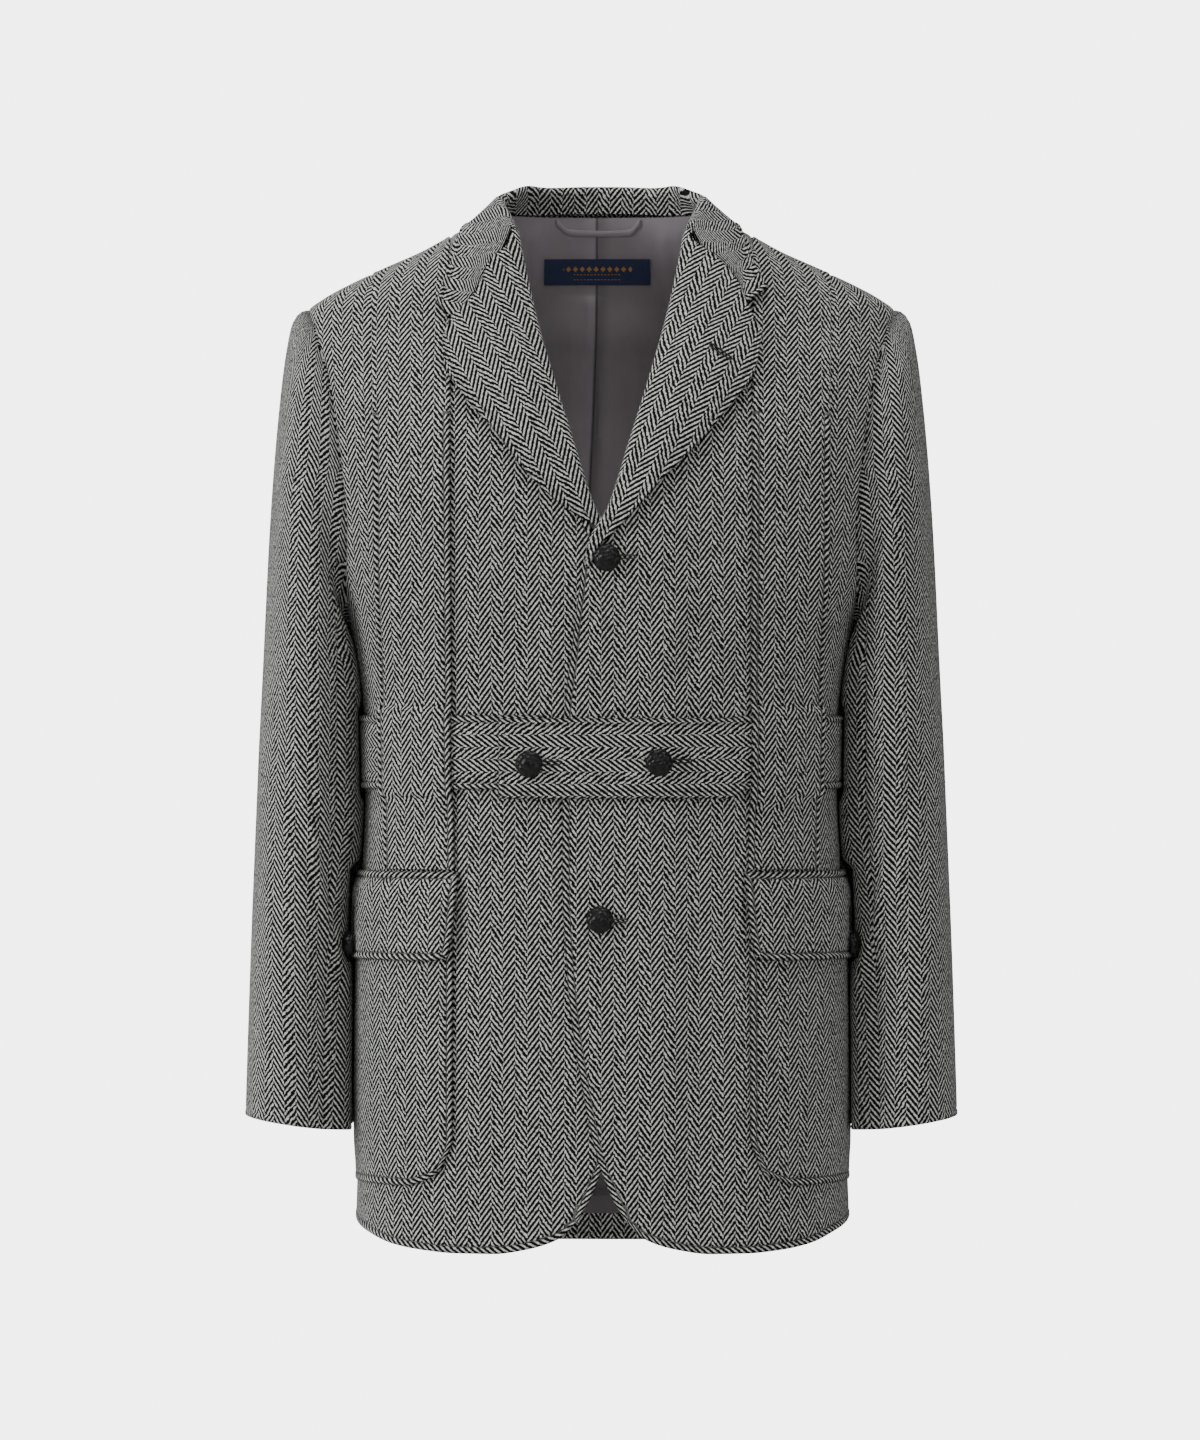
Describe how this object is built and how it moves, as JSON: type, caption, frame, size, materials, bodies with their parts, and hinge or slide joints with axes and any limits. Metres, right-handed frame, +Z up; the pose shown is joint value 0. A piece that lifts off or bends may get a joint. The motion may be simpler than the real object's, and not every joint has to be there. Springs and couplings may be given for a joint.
{
  "type": "norfolk jacket",
  "caption": "Herringbone tweed norfolk jacket with notch lapels, straps over a buttoned belt and flapped patch pockets, filled out as if worn, hollow and open at neck, hem and cuffs",
  "frame": {"origin": "between the shoulders at neck height, where the wearer carries the jacket", "axes": "+Z up, the fronts face -Y, +X is the wearer's left side"},
  "size_m": [0.516, 0.2666, 0.7804],
  "materials": {
    "tweed": "grey and black herringbone tweed, matte and slightly hairy",
    "lining": "smooth grey satin lining with a soft sheen",
    "leather": "black woven leather buttons, polished",
    "label": "navy woven cloth, plain"
  },
  "bodies": {
    "root": {"front_left": "tweed", "front_right": "tweed", "back": "tweed", "collar_stand": "tweed", "collar_leaf": "tweed", "lapel_left": "tweed", "lapel_right": "tweed", "strap_front_left": "tweed", "strap_front_right": "tweed", "strap_back_left": "tweed", "strap_back_right": "tweed", "belt": "tweed", "pocket_left": "tweed", "pocket_right": "tweed", "flap_left": "tweed", "flap_right": "tweed", "sleeve_top_left": "tweed", "sleeve_top_right": "tweed", "sleeve_under_left": "tweed", "sleeve_under_right": "tweed", "lining_back": "lining", "hanger_loop": "lining", "button_front_top": "leather", "button_front_bottom": "leather", "button_belt_outer": "leather", "button_belt_inner": "leather", "button_flap_left": "leather", "button_flap_right": "leather", "neck_label": "label"}
  },
  "joints": []
}
